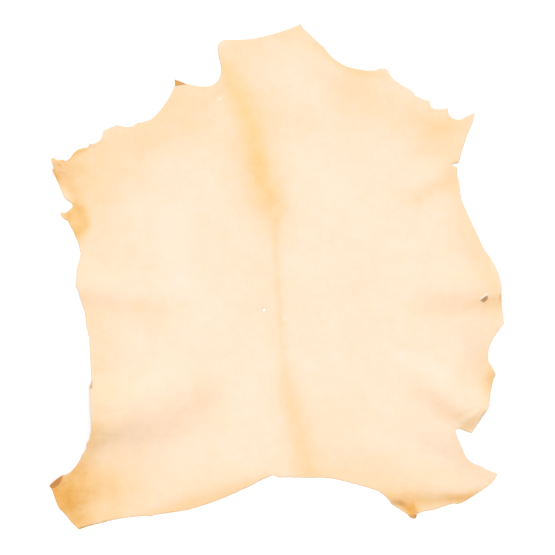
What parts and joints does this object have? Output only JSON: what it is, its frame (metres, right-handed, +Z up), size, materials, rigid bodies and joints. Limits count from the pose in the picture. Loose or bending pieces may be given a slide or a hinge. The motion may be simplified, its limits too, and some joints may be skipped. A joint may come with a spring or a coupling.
{
  "type": "leather hide",
  "caption": "Whole natural leather hide lying flat with its grain side up, raw trimmed edge, soft folds at the margins and curled tips.",
  "frame": {"origin": "bottom centre of the hide's box, on the surface that the flesh side lies on", "axes": "+Z up out of the grain side, +Y towards the neck, +X to the right as seen from above"},
  "size_m": [0.9078, 1.0105, 0.0158],
  "materials": {
    "leather": "natural undyed vegetable-tanned grain, matt with a faint sheen"
  },
  "bodies": {
    "root": {"hide": "leather"}
  },
  "joints": []
}
